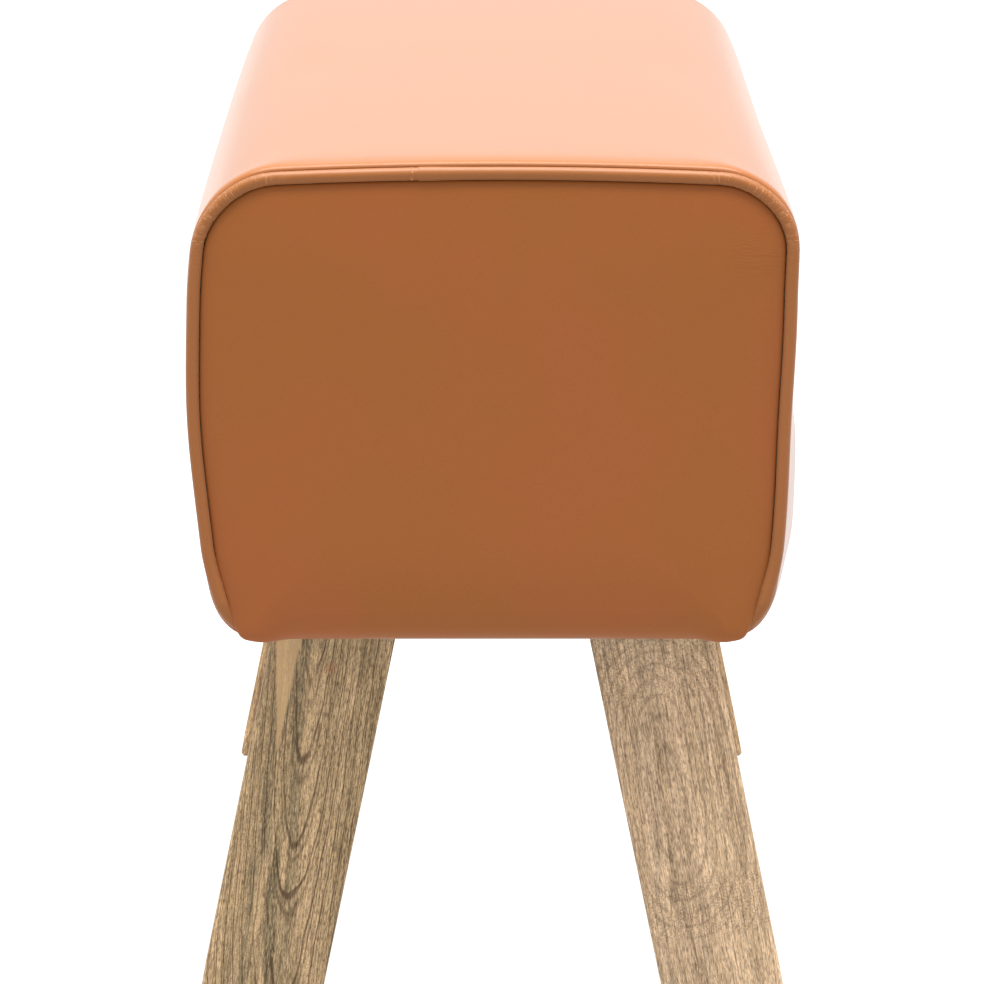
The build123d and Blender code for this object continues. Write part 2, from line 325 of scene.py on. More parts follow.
def mangoWood(name, look, middle, turn):
    material, tree, shader, place = newMaterial(name)
    dark, pale = linear(look["dark"]), linear(look["pale"])

    def window(value, low, high, toLow=0.0, toHigh=1.0):        # passes softly from one share to another
        return add(tree, "MapRange", {"Value": value, "From Min": low, "From Max": high, "To Min": toLow,
                                      "To Max": toHigh}, interpolation_type="SMOOTHSTEP")

    def product(first, second):
        return add(tree, "Math", {0: first, 1: second}, operation="MULTIPLY")

    def offCentre(value, centre):
        apart = add(tree, "Math", {0: value, 1: centre}, operation="SUBTRACT")
        return add(tree, "Math", {0: apart}, operation="ABSOLUTE")

    centred = add(tree, "VectorMath", {0: place, 1: middle}, operation="SUBTRACT")
    grainWay = add(tree, "Mapping", {"Vector": centred, "Rotation": (0, turn, 0)})
    seeded = add(tree, "VectorMath", {0: grainWay, 1: (look["seed"],) * 3}, operation="ADD")

    # the grain wanders a little on its way down the leg
    slow = add(tree, "Mapping", {"Vector": seeded, "Scale": (1, 1, 0.4)})
    drift = add(tree, "TexNoise", {"Vector": slow, "Scale": 1 / wood["wobbleSize"], "Detail": 3}, "Color")
    offset = add(tree, "VectorMath", {0: drift, 1: (0.5, 0.5, 0.5)}, operation="SUBTRACT")
    pushed = add(tree, "VectorMath", {0: offset, "Scale": 2 * wood["wobble"]}, operation="SCALE")
    wavy = add(tree, "VectorMath", {0: grainWay, 1: pushed}, operation="ADD")

    def drawnOut(width, length, detail=1, source=seeded):        # noise stretched along the grain
        scaled = add(tree, "Mapping", {"Vector": source, "Scale": (1 / width, 1 / width, 1 / length)})
        return add(tree, "TexNoise", {"Vector": scaled, "Scale": 1, "Detail": detail})

    # growth rings: the distance from a pith that leans or bows along the leg
    acrossX, alongY, upZ = add(tree, "SeparateXYZ", {"Vector": wavy}).node.outputs
    pithX, pithY = look["pith"]
    across = add(tree, "Math", {0: acrossX, 1: pithX}, operation="SUBTRACT")
    height = add(tree, "Math", {0: upZ, 1: look["bowAt"]}, operation="SUBTRACT")
    deep = add(tree, "Math", {0: alongY, 1: pithY}, operation="SUBTRACT")
    tilt = look["tilt"] if pithY < 0 else -look["tilt"]
    deep = add(tree, "Math", {0: upZ, 1: tilt, 2: deep}, operation="MULTIPLY_ADD")
    square = product(height, height)
    deep = add(tree, "Math", {0: square, 1: look["bow"], 2: deep}, operation="MULTIPLY_ADD")
    squares = add(tree, "Math", {0: product(across, across), 1: product(deep, deep)}, operation="ADD")
    apart = add(tree, "Math", {0: squares}, operation="SQRT")
    turns = add(tree, "Math", {0: apart, 1: look["ring"]}, operation="DIVIDE")
    phase = add(tree, "Math", {0: turns}, operation="FRACT")
    ringLines = add(tree, "ValToRGB", {"Fac": phase})
    stops = ringLines.node.color_ramp.elements
    while len(stops) < len(look["lines"]):
        stops.new(1)
    for stop, (position, darkness) in zip(stops, look["lines"]):
        stop.position, stop.color = position, (darkness, darkness, darkness, 1)
    broken = window(drawnOut(wood["breakWidth"], wood["breakLength"], 2), 0.36, 0.5, 0.3, 1)

    bands = window(drawnOut(wood["bandWidth"], wood["bandLength"], 2, wavy), 0.36, 0.64)
    fibres = window(drawnOut(wood["fibreWidth"], wood["fibreLength"], 2), 0.3, 0.7, 0.8, 1.16)
    grain = window(drawnOut(wood["grainWidth"], wood["grainLength"], 4), 0.36, 0.64, 0.74, 1.16)
    longLines = window(drawnOut(wood["lineWidth"], wood["lineLength"], 2, wavy), 0.56, 0.63)
    dashes = window(drawnOut(wood["fleckWidth"], wood["fleckLength"]), 0.52, 0.6)
    dots = window(drawnOut(wood["dotWidth"], wood["dotLength"]), 0.5, 0.58)
    glints = window(drawnOut(1.2 * wood["fleckWidth"], 1.4 * wood["fleckLength"]), 0.56, 0.68)

    stainX, stainReach = look["stainAt"]
    nearStain = window(offCentre(acrossX, stainX), 2 * stainReach, 0.3 * stainReach)
    stains = window(drawnOut(wood["stainWidth"], wood["stainLength"], 3, wavy), 0.42, 0.6)
    colour = blended(tree, bands, linear(look["mid"]), pale)
    stained = product(product(stains, nearStain), look["stainShare"])
    colour = blended(tree, stained, colour, linear(look["stain"]))
    if look["mark"]:        # a small rust-red gum mark
        spot = (look["mark"][0], wood["faceY"], look["mark"][1])
        gap = add(tree, "VectorMath", {0: wavy, 1: spot}, "Value", operation="DISTANCE")
        colour = blended(tree, window(gap, *wood["gumReach"], 0, 0.4), colour, linear(wood["gumMark"]))
    colour = blended(tree, product(longLines, 0.4), colour, dark)
    colour = blended(tree, 1.0, colour, fibres, "MULTIPLY")
    colour = blended(tree, 1.0, colour, grain, "MULTIPLY")

    # pores show as dots where the rings dive into the face, and as dashes elsewhere
    if look["bow"]:
        away = add(tree, "Math", {0: height}, operation="ABSOLUTE")
        dive = window(away, *wood["diveFrom"], 0, look["dots"])
        dive = product(dive, window(height, *wood["diveFoot"]))
    else:
        dive = window(drawnOut(wood["diveWidth"], wood["diveLength"], 2), 0.5, 0.6, 0, look["dots"])
    pores = blended(tree, dive, dashes, dots)
    colour = blended(tree, product(pores, look["flecks"]), colour, dark)
    colour = blended(tree, product(glints, 0.45), colour, pale)
    ringed = product(product(ringLines, broken), look["ringShare"])
    if look["bow"]:        # the rings run out towards the foot
        ringed = product(ringed, window(height, *wood["ringFoot"]))
    colour = blended(tree, ringed, colour, dark)
    if look["streak"]:        # a pale sapwood streak that narrows down the leg
        streakX, halfSpan, tip, head = look["streak"]
        room = add(tree, "MapRange", {"Value": upZ, "From Min": tip, "From Max": head, "To Min": 0,
                                      "To Max": halfSpan})
        within = add(tree, "Math", {0: room, 1: offCentre(acrossX, streakX)}, operation="SUBTRACT")
        streak = window(within, *wood["streakEdge"], 0, 0.75)
        colour = blended(tree, streak, colour, linear(wood["sapwood"]))

    depth = wood["poreDepth"]
    dents = add(tree, "Bump", {"Height": pores, "Distance": depth, "Strength": 0.8}, invert=True)
    ridges = {"Height": fibres, "Distance": depth, "Strength": 0.5, "Normal": dents}
    feed(tree, shader, {
        "Base Color": colour,
        "Roughness": wood["roughness"],
        "IOR": wood["ior"],
        "Specular IOR Level": wood["specular"],
        "Normal": add(tree, "Bump", ridges),
    })
    return material


# Camera, light and floor

view = {
    "place": (-3.3 * mm, -3750 * mm, 911.9 * mm),
    "lookDown": 10.38,
    "turn": -0.051,
    "lens": 233.7,
    "sensor": 36,
    "reach": 100,
}
camera = bpy.data.objects.new("camera", bpy.data.cameras.new("camera"))
camera.location = view["place"]
camera.rotation_euler = (radians(90 - view["lookDown"]), 0, radians(view["turn"]))
camera.data.lens = view["lens"]
camera.data.sensor_width = view["sensor"]
camera.data.clip_end = view["reach"]
scene.collection.objects.link(camera)
scene.camera = camera
scene.view_settings.view_transform = "Standard"

studio = {
    "surround": "#ffffff",
    "surroundStrength": 1.0,
    "overheadStrength": 8.8,
    "overheadSpread": 50,
    "floorColour": "#505050",
    "floorGlow": 1.0,
    "floorRoughness": 0.9,
    "floorSize": 60,
}
world = bpy.data.worlds.new("studio")
world.use_nodes = True
sky = world.node_tree.nodes["Background"]
sky.inputs["Color"].default_value = linear(studio["surround"])
sky.inputs["Strength"].default_value = studio["surroundStrength"]
scene.world = world
overhead = bpy.data.objects.new("overhead", bpy.data.lights.new("overhead", "SUN"))
overhead.data.energy = studio["overheadStrength"]
overhead.data.angle = radians(studio["overheadSpread"])
scene.collection.objects.link(overhead)

# White acrylic lit from below, as on a light table: plain and pale with hardly a shadow.
floorBm = bmesh.new()
bmesh.ops.create_grid(floorBm, x_segments=1, y_segments=1, size=studio["floorSize"] / 2)
floorMaterial, floorTree, floorShader, floorPlace = newMaterial("backlit_white_acrylic")
feed(floorTree, floorShader, {
    "Base Color": linear(studio["floorColour"]),
    "Roughness": studio["floorRoughness"],
    "Emission Color": linear(studio["surround"]),
    "Emission Strength": studio["floorGlow"],
})
floorMesh = bpy.data.meshes.new("floor")
floorBm.to_mesh(floorMesh)
floorBm.free()
floorPiece = bpy.data.objects.new("floor", floorMesh)
floorMesh.materials.append(floorMaterial)
scene.collection.objects.link(floorPiece)
print("camera, light and floor are in place")


# Outline of the body

body = {
    "sideBulge": 1.5 * mm,
    "topRise": 3 * mm,
    "crown": 5 * mm,
    "shoulderTuck": 2.5 * mm,
    "shoulderRadius": 42.3 * mm,
    "bellyShare": 0.68,
    "kneeRise": 34 * mm,
    "kneeTuck": 8 * mm,
    "tuckKept": 0.4,
    "facetWidth": 12.5 * mm,
    "heelShare": 0.43,
    "kneeShare": 0.33,
    "heelSteps": 5,
    "kneeSteps": 4,
    "shoulderSteps": 10,
    "hemHeight": 1 * mm,
}
halfWidth = coverHigh.x - body["sideBulge"]
seamY = coverHigh.y
bodyLow = coverLow.z
bodyTop = coverHigh.z - body["topRise"]
bodyHeight = bodyTop - bodyLow
bellyZ = bodyLow + body["bellyShare"] * bodyHeight
facetLength = hypot(body["facetWidth"], body["kneeRise"])


# One face with the outline's straight runs and rounded corners, as if its sides
# were upright and its top flat. The bow and the crown come afterwards.
def outlineFace(bm, y, inset=0.0, under=0.0, heelShare=body["heelShare"]):
    half, top, low = halfWidth - inset, bodyTop - inset, bodyLow + under
    heelX = half - body["facetWidth"]
    kneeZ = low + body["kneeRise"]
    points = [(-heelX, low), (heelX, low), (half, kneeZ), (half, top), (-half, top), (-half, kneeZ)]
    verts = [bm.verts.new((x, y, z)) for x, z in points]
    bm.faces.new(verts)
    slim = (body["shoulderRadius"] - inset) / body["shoulderRadius"]
    rounding = [
        (verts[:2], heelShare * facetLength * slim, body["heelSteps"]),
        ((verts[2], verts[5]), body["kneeShare"] * facetLength * slim, body["kneeSteps"]),
        (verts[3:5], body["shoulderRadius"] - inset, body["shoulderSteps"]),
    ]
    for group, offset, segments in rounding:
        bmesh.ops.bevel(bm, geom=list(group), offset=offset, offset_type="OFFSET", segments=segments,
                        profile=0.5, affect="VERTICES", material=-1)
    return bm.faces[:][0]


def subdivideLong(bm, edges, spacing):
    for edge in edges:
        cuts = int(edge.calc_length() / spacing)
        if cuts:
            bmesh.ops.subdivide_edges(bm, edges=[edge], cuts=cuts)


# Bows the sides and crowns the top. The sides swell by fullness and the top by crest, from 0 to 1.
def bowAndCrown(verts, fullness, crest):
    for vert in verts:
        full = fullness(vert)
        tuck = body["kneeTuck"] * (1 - (1 - body["tuckKept"]) * full)
        if vert.co.z < bellyZ:
            kneeZ = bodyLow + body["kneeRise"]
            drawn = tuck * min((bellyZ - vert.co.z) / (bellyZ - kneeZ), 1.05) ** 2
        else:
            drawn = body["shoulderTuck"] * ((vert.co.z - bellyZ) / (bodyTop - bellyZ)) ** 2
        share = vert.co.x / halfWidth
        rise = smoothStep(bellyZ, bodyTop, vert.co.z)
        vert.co.x -= share * (drawn - body["sideBulge"] * full)
        vert.co.z += rise * (body["topRise"] * crest(vert) - body["crown"] * share * share)


# Cloth

cloth = {"pressure": 4, "lastFrame": 20, "quickLastFrame": 3, "quality": 6, "mass": 0.4, "stiffness": 30,
         "bending": 2}


# Blows a piece up against its sewn edge, with no point moving further than cap.
def puffUp(piece, sewn, cap):
    rest = [vert.co.copy() for vert in piece.data.vertices]
    group = piece.vertex_groups.new(name="sewn")
    group.add(sewn, 1, "REPLACE")
    sim = piece.modifiers.new("puff", "CLOTH")
    settings = sim.settings
    settings.quality = cloth["quality"]
    settings.mass = cloth["mass"]
    settings.tension_stiffness = settings.compression_stiffness = cloth["stiffness"]
    settings.shear_stiffness = cloth["stiffness"]
    settings.bending_stiffness = cloth["bending"]
    settings.use_pressure = True
    settings.uniform_pressure_force = cloth["pressure"]
    settings.effector_weights.gravity = 0
    settings.vertex_group_mass = group.name
    sim.point_cache.frame_start, sim.point_cache.frame_end = 1, cloth["lastFrame"]
    for step in range(cloth["lastFrame"]):
        scene.frame_set(step + 1)
    graph = bpy.context.evaluated_depsgraph_get()
    blown = [vert.co.copy() for vert in piece.evaluated_get(graph).data.vertices]
    piece.modifiers.remove(sim)
    piece.vertex_groups.clear()
    scene.frame_set(1)
    furthest = outward = 0
    for vert, start, end in zip(piece.data.vertices, rest, blown):
        step = end - start
        furthest = max(furthest, step.length)
        outward += step.dot(vert.normal) / len(rest)
        vert.co = start + step * cap / (cap + step.length)
    print(f"{piece.name}: the cloth moved {furthest / mm:.1f} mm at most, {outward / mm:.1f} mm on average")


# Leather cover

cover = {
    "wall": 1.2 * mm,
    "steps": 96,
    "spacing": 9 * mm,
    "endCrowding": 0.96,
    "swellPower": 5,
    "swellPowerRight": 9,
    "puff": 3.4 * mm,
    "puffLow": 248 * mm,
    "puffHigh": 352 * mm,
    "puffFade": 30 * mm,
    "puffStart": 80 * mm,
    "crestDepth": 8 * mm,
    "crestKept": 0.2,
    "rollLength": 3 * mm,
    "rollDrop": 1.2 * mm,
    "cornerDrop": 1.2 * mm,
    "cap": 1.2 * mm,
    "hemIn": 7 * mm,
    "sewnWidth": 3 * mm,
}


def sideFullness(vert):        # the right side is fuller than the left
    power = cover["swellPower"] if vert.co.x < 0 else cover["swellPowerRight"]
    return 1 - min(abs(vert.co.y) / seamY, 1) ** power


def topFullness(vert):        # full right up to the seams, then rolled down to them
    outer = max(1 - (seamY - abs(vert.co.y)) / cover["crestDepth"], 0)
    return cover["crestKept"] + (1 - cover["crestKept"]) * sqrt(max(1 - outer * outer, 0))


def unswollen(vert):
    return 0


def makeCover(material):
    bm = bmesh.new()
    face = outlineFace(bm, -seamY)
    bmesh.ops.delete(bm, geom=[face], context="FACES_ONLY")
    under = [e for e in bm.edges if all(v.co.z < bodyLow + 0.01 * mm for v in e.verts)]
    bottom = max(under, key=lambda e: e.calc_length())
    for vert in bottom.verts:        # the cover turns in under the body by a narrow hem
        stub = bm.verts.new(vert.co - Vector((cover["hemIn"] * (1 if vert.co.x > 0 else -1), 0, 0)))
        bm.edges.new((vert, stub))
    bmesh.ops.delete(bm, geom=[bottom], context="EDGES")
    subdivideLong(bm, bm.edges[:], cover["spacing"])
    step = Vector((0, 2 * seamY / cover["steps"], 0))
    bmesh.ops.spin(bm, geom=bm.verts[:] + bm.edges[:], angle=0, steps=cover["steps"], dvec=step,
                   axis=(0, 1, 0), cent=(0, 0, 0))
    for vert in bm.verts:        # the rings crowd towards the seams
        share = vert.co.y / seamY
        crowded = (1 - cover["endCrowding"]) * share + cover["endCrowding"] * sin(share * pi / 2)
        vert.co.y = seamY * crowded
    bowAndCrown(bm.verts, sideFullness, topFullness)
    for vert in bm.verts:        # low on the right the padding stands out behind the seam
        if vert.co.x > 0:
            window = smoothStep(cover["puffLow"], cover["puffLow"] + cover["puffFade"], vert.co.z)
            window *= 1 - smoothStep(cover["puffHigh"] - cover["puffFade"], cover["puffHigh"], vert.co.z)
            vert.co.x += cover["puff"] * window * smoothStep(0, cover["puffStart"], seamY - abs(vert.co.y))
    faceOutwards(bm, Vector((0, 0, bellyZ)))
    piece = newPiece("seat_cover", bm, material)
    sewnY, hemZ = seamY - cover["sewnWidth"], bodyLow + body["hemHeight"]
    sewn = [v.index for v in piece.data.vertices if abs(v.co.y) > sewnY or v.co.z < hemZ]
    puffUp(piece, sewn, cover["cap"])
    rollSeams(piece)
    finishShell(piece, cover["wall"], 1)
    finishPiece(piece, "cover_leather", "leather_cover")
    print("the leather cover is done")


# The cover rolls down into the seam at each end, deeper round the shoulders.
def rollSeams(piece):
    normals = [vert.normal.copy() for vert in piece.data.vertices]
    for vert, normal in zip(piece.data.vertices, normals):
        depth = seamY - abs(vert.co.y)
        if depth > cover["rollLength"] or vert.co.z < bodyLow + body["hemHeight"]:
            continue
        curl = 1 - sqrt(max(1 - (1 - depth / cover["rollLength"]) ** 2, 0))
        inward = Vector((normal.x, 0, normal.z)).normalized()
        corner = 2 * abs(inward.x * inward.z)
        vert.co -= inward * curl * (cover["rollDrop"] + corner * cover["cornerDrop"])


# End panels

panel = {
    "wall": 1.2 * mm,
    "rimInset": 7.1 * mm,
    "rimDepth": 8 * mm,
    "rimY": 443.5 * mm,
    "roll": 16 * mm,
    "depth": 4.4 * mm,
    "bottomBack": 10 * mm,
    "bottomReach": 36 * mm,
    "bottomSag": 2.7 * mm,
    "sagReach": 26 * mm,
    "cornerIn": 98 * mm,
    "cornerOut": 128 * mm,
    "rollSteps": 8,
    "rings": 20,
    "spacing": 7 * mm,
    "heelShare": 0.12,
    "cap": 1.0 * mm,
    "easeFrom": 3.6 * mm,
    "easeSteps": 14,
    "cornerRise": 22 * mm,
    "flapLength": 43 * mm,
    "flapHalf": 124.5 * mm,
    "flapRise": 0.2 * mm,
    "flapBehind": 1 * mm,
    "sewnDepth": 1 * mm,
    "overFrom": 106 * mm,
    "overTo": 115 * mm,
    "overDrop": 1.8 * mm,
    "overShort": 6 * mm,
    "hang": 3 * mm,
    "hangX": 121 * mm,
    "hangReach": 8 * mm,
}


def makePanel(material):
    bm = bmesh.new()
    face = outlineFace(bm, -panel["rimY"], panel["rimInset"], heelShare=panel["heelShare"])
    bmesh.ops.delete(bm, geom=[face], context="FACES_ONLY")
    subdivideLong(bm, bm.edges[:], panel["spacing"])
    rim = loop = bm.edges[:]
    middle = Vector((0, -panel["rimY"], (bodyTop - panel["rimInset"] + bodyLow) / 2))
    reach = Vector((halfWidth - panel["rimInset"], 0, middle.z - bodyLow))

    def nextRing(loop, inward, forward):        # one more ring of faces towards the middle
        grown = bmesh.ops.extrude_edge_only(bm, edges=loop)["geom"]
        verts = [g for g in grown if isinstance(g, bmesh.types.BMVert)]
        shrink = (reach.x - inward) / max(v.co.x for v in verts)
        bmesh.ops.scale(bm, vec=(shrink, 1, shrink), space=Matrix.Translation(-middle), verts=verts)
        bmesh.ops.translate(bm, vec=(0, -forward, 0), verts=verts)
        return [g for g in grown if isinstance(g, bmesh.types.BMEdge)]

    reached = 0
    for step in range(1, panel["rollSteps"] + 1):        # the rolled edge is a quarter of an ellipse
        turn = step / panel["rollSteps"] * pi / 2
        loop = nextRing(loop, panel["roll"] * (1 - cos(turn)), panel["depth"] * sin(turn) - reached)
        reached = panel["depth"] * sin(turn)
    for ring in range(1, panel["rings"]):
        loop = nextRing(loop, panel["roll"] + (reach.x - panel["roll"]) * ring / panel["rings"], 0)
    bmesh.ops.contextual_create(bm, geom=loop)
    bmesh.ops.poke(bm, faces=[f for f in bm.faces if len(f.verts) > 4])
    back = bmesh.ops.extrude_edge_only(bm, edges=rim)["geom"]
    backVerts = [g for g in back if isinstance(g, bmesh.types.BMVert)]
    bmesh.ops.translate(bm, vec=(0, panel["rimDepth"], 0), verts=backVerts)
    bowAndCrown(bm.verts, unswollen, unswollen)
    flapRoots = [
        g for g in back if isinstance(g, bmesh.types.BMEdge)
        and all(v.co.z < bodyLow + panel["flapRise"] and abs(v.co.x) < panel["flapHalf"] for v in g.verts)
    ]
    flap = bmesh.ops.extrude_edge_only(bm, edges=flapRoots)["geom"]
    bmesh.ops.translate(bm, vec=(0, panel["flapLength"] - panel["rimDepth"], 0),
                        verts=[g for g in flap if isinstance(g, bmesh.types.BMVert)])
    faceOutwards(bm, Vector((0, 0, bellyZ)))
    front = newPiece("end_panel_front", bm, material)
    sewn = [v.index for v in front.data.vertices if v.co.y > -panel["rimY"] - panel["sewnDepth"]]
    puffUp(front, sewn, panel["cap"])
    face = [v.index for v in front.data.vertices if v.co.y < -panel["rimY"] - panel["easeFrom"]]
    foldCorners(front)
    easeFace(front, face)
    finishShell(front, panel["wall"], 1)
    back = mirrored(front, "end_panel_back")
    for end, piece in (("front", front), ("back", back)):
        finishPiece(piece, "cover_leather", f"leather_end_{end}")
    print("the end panels are done")


def turnedUnder(place):        # how far inside the corners it is, and how far the end is rounded back there
    under = min(max(1 - (place.z - bodyLow) / panel["bottomReach"], 0), 1)
    inner = 1 - smoothStep(panel["cornerIn"], panel["cornerOut"], abs(place.x))
    return inner, inner * panel["bottomBack"] * (1 - sqrt(1 - under * under))


# The leather bunches where it turns under at the two lower corners, and its flap lies over the cover's hem.
def foldCorners(piece):
    flapY = -panel["rimY"] + panel["rimDepth"] + panel["bottomBack"] + panel["flapBehind"]
    for vert in piece.data.vertices:
        low = 1 - smoothStep(bodyLow, bodyLow + panel["cornerRise"], vert.co.z)
        inner, back = turnedUnder(vert.co)
        sag = 1 - smoothStep(bodyLow, bodyLow + panel["sagReach"], vert.co.z)
        vert.co.y += back
        if vert.co.y > flapY:
            over = smoothStep(panel["overFrom"], panel["overTo"], abs(vert.co.x))
            vert.co -= over * Vector((0, panel["overShort"], panel["overDrop"]))
            continue
        bunch = bump(abs(vert.co.x), panel["hangX"], panel["hangReach"])
        vert.co.z -= low * panel["hang"] * bunch + sag * inner * panel["bottomSag"]


# The leather spans its padding evenly, so the mitres of the rings are eased out of the face.
def easeFace(piece, face):
    bm = bmesh.new()
    bm.from_mesh(piece.data)
    bm.verts.ensure_lookup_table()
    verts = [bm.verts[index] for index in face]
    for step in range(panel["easeSteps"]):
        bmesh.ops.smooth_vert(bm, verts=verts, factor=0.5, use_axis_x=False, use_axis_y=True,
                              use_axis_z=False)
    bm.to_mesh(piece.data)
    bm.free()


# Piping

piping = {
    "radius": 3.45 * mm,
    "cordRadius": 1.9 * mm,
    "inset": 3.6 * mm,
    "seat": 2.8 * mm,
    "spacing": 1.2 * mm,
    "around": 12,
    "spliceX": -42 * mm,
    "spliceDepth": 0.4 * mm,
    "spliceProud": 0.3 * mm,
    "spliceWidth": 0.8 * mm,
    "spliceDrop": 30 * mm,
    "spliceReach": 30 * mm,
    "creaseDepth": 0.3 * mm,
    "creaseSpacing": 1.2 * mm,
    # pale colour of the creases and stitch holes; on the creases it is partly painted highlight
    "creaseHighlightAndStitchColour": "#c0875a",
    "creaseWidth": 1.8 * mm,
    "creaseFrom": 44 * mm,
    "creaseTo": 20 * mm,
    "creaseRidge": 0.3 * mm,
    "creasedLow": 80 * mm,
    "creasedHigh": 20 * mm,
    "creasedInner": 85 * mm,
    "creasedOuter": 35 * mm,
    "pinch": 3 * mm,
    "finePinch": 2 * mm,
    "stitchHole": 1.4 * mm,
    "stitchFrom": 0.9 * mm,
    "stitchTo": 0.3 * mm,
    "dive": 5.5 * mm,
    "diveFrom": 20 * mm,
    "diveTo": 6 * mm,
}


def makeTube(name, radius, material):        # a tube round the top and sides of the front end
    bm = bmesh.new()
    face = outlineFace(bm, -seamY - piping["seat"], piping["inset"], piping["inset"])
    bmesh.ops.delete(bm, geom=[face], context="FACES_ONLY")
    floorZ = bodyLow + piping["inset"] + 0.01 * mm
    under = [e for e in bm.edges if all(v.co.z < floorZ for v in e.verts)]
    bmesh.ops.delete(bm, geom=[max(under, key=lambda e: e.calc_length())], context="EDGES")
    subdivideLong(bm, bm.edges[:], piping["spacing"])
    bowAndCrown(bm.verts, unswollen, unswollen)
    for vert in bm.verts:        # its ends tuck behind the panel's lower corners
        low = 1 - smoothStep(bodyLow + piping["diveTo"], bodyLow + piping["diveFrom"], vert.co.z)
        vert.co.y += piping["dive"] * low
    tube = newPiece(name, bm, material)
    bpy.ops.object.select_all(action="DESELECT")
    bpy.context.view_layer.objects.active = tube
    tube.select_set(True)
    bpy.ops.object.convert(target="CURVE")
    tube.data.bevel_depth = radius
    tube.data.bevel_resolution = piping["around"] // 2
    tube.data.use_fill_caps = True
    bpy.ops.object.convert(target="MESH")
    tube.select_set(False)
    if not tube.data.materials:
        tube.data.materials.append(material)
    return tube


def makePiping(leatherMaterial, cordMaterial):
    tube = makeTube("piping_tube_front", piping["radius"], leatherMaterial)
    creasePiping(tube)
    cord = makeTube("filler_cord_front", piping["cordRadius"], cordMaterial)
    for piece, slot, replaced in ((tube, "piping_leather", "piping"), (cord, "filler_cord", "piping_cord")):
        piece.data.shade_smooth()
        twin = mirrored(piece, piece.name.replace("front", "back"))
        finishPiece(piece, slot, f"{replaced}_front")
        finishPiece(twin, slot, f"{replaced}_back")
    print("the piping is done")


# Creases across the tube where it turns the shoulders, and the butt joint on top.
def creasePiping(piece):
    pushes = []
    for vert in piece.data.vertices:
        x, z = abs(vert.co.x), vert.co.z
        shoulder = smoothStep(bodyTop - piping["creasedLow"], bodyTop - piping["creasedHigh"], z)
        shoulder *= smoothStep(halfWidth - piping["creasedInner"], halfWidth - piping["creasedOuter"], x)
        along = Vector((vert.co.x, 0, vert.co.z)) / piping["creaseSpacing"]
        pinch = noise.noise(along + Vector((0, vert.co.y / piping["pinch"], 0)))
        pinch += 0.5 * noise.noise(2.3 * along + Vector((5, vert.co.y / piping["finePinch"], 0)))
        push = piping["creaseDepth"] * (0.12 + shoulder) * min(pinch, 0.1)
        if z > bodyTop - piping["spliceDrop"]:
            away = vert.co.x - piping["spliceX"]
            push -= piping["spliceDepth"] * bump(away, 0, piping["spliceWidth"])
            if away > 0:
                push += piping["spliceProud"] * (1 - smoothStep(0, piping["spliceReach"], away))
        pushes.append(push * vert.normal)
    for vert, push in zip(piece.data.vertices, pushes):
        vert.co += push


# Where the piping turns a shoulder its leather is pinched into cross creases, with pale colour that is
# partly the top coat cracked pale and partly painted highlight; the butt joint on top shows pale stitch
# holes.
def addCreasesAndPaintedHighlights(material):
    tree = material.node_tree
    shader = tree.nodes["Principled BSDF"]
    radius = body["shoulderRadius"]
    place = add(tree, "TexCoord", {}, "Object")
    acrossX, alongY, upZ = add(tree, "SeparateXYZ", {"Vector": place}).node.outputs
    side = add(tree, "Math", {0: acrossX}, operation="ABSOLUTE")
    side = add(tree, "Math", {0: side, 1: halfWidth - radius}, operation="SUBTRACT")
    up = add(tree, "Math", {0: upZ, 1: bodyTop - radius}, operation="SUBTRACT")
    turned = add(tree, "Math", {0: up, 1: side}, operation="ARCTAN2")
    along = add(tree, "Math", {0: turned, 1: radius / piping["creaseSpacing"]}, operation="MULTIPLY")
    across = add(tree, "Math", {0: alongY, 1: 1 / piping["creaseWidth"]}, operation="MULTIPLY")
    spot = add(tree, "CombineXYZ", {"X": along, "Y": across})
    pinches = add(tree, "TexNoise", {"Vector": spot, "Scale": 1.5, "Detail": 3, "Distortion": 0.6})
    flat = add(tree, "CombineXYZ", {"X": side, "Z": up})
    bend = Vector((0.7, 0, 0.7)) * radius
    away = add(tree, "VectorMath", {0: flat, 1: bend}, "Value", operation="DISTANCE")
    near = add(tree, "MapRange", {"Value": away, "From Min": piping["creaseFrom"],
                                  "From Max": piping["creaseTo"]})
    lines = add(tree, "MapRange", {"Value": pinches, "From Min": 0.54, "From Max": 0.7, "To Max": 0.7})
    creases = add(tree, "Math", {0: lines, 1: near}, operation="MULTIPLY")

    off = add(tree, "Math", {0: acrossX, 1: piping["spliceX"]}, operation="SUBTRACT")
    off = add(tree, "Math", {0: off}, operation="ABSOLUTE")
    joint = add(tree, "MapRange", {"Value": off, "From Min": piping["stitchFrom"],
                                   "From Max": piping["stitchTo"], "To Max": 0.8})
    onTop = add(tree, "Math", {0: up, 1: 0.0}, operation="GREATER_THAN")
    joint = add(tree, "Math", {0: joint, 1: onTop}, operation="MULTIPLY")
    holes = add(tree, "TexNoise", {"Vector": place, "Scale": 1 / piping["stitchHole"]})
    spots = add(tree, "MapRange", {"Value": holes, "From Min": 0.45, "From Max": 0.6})
    stitches = add(tree, "Math", {0: joint, 1: spots}, operation="MULTIPLY")
    share = add(tree, "Math", {0: creases, 1: stitches}, operation="MAXIMUM")

    plain, smooth = (shader.inputs[name].links[0].from_socket for name in ("Base Color", "Normal"))
    ridges = {"Height": share, "Distance": piping["creaseRidge"], "Normal": smooth}
    feed(tree, shader, {
        # pale crease colour: partly the top coat cracked pale by stretching, partly painted highlight
        "Base Color": blended(tree, share, plain, linear(piping["creaseHighlightAndStitchColour"])),
        "Normal": add(tree, "Bump", ridges),
    })


# Twisted cotton and paper cord inside the piping: off-white strands at a slant.
cordFill = {
    "pale": "#e6e0cf",
    "deep": "#b9ad90",
    "strand": 1.4 * mm,
    "slant": (0.6, 0.5, 0.6),
    "relief": 0.3 * mm,
}


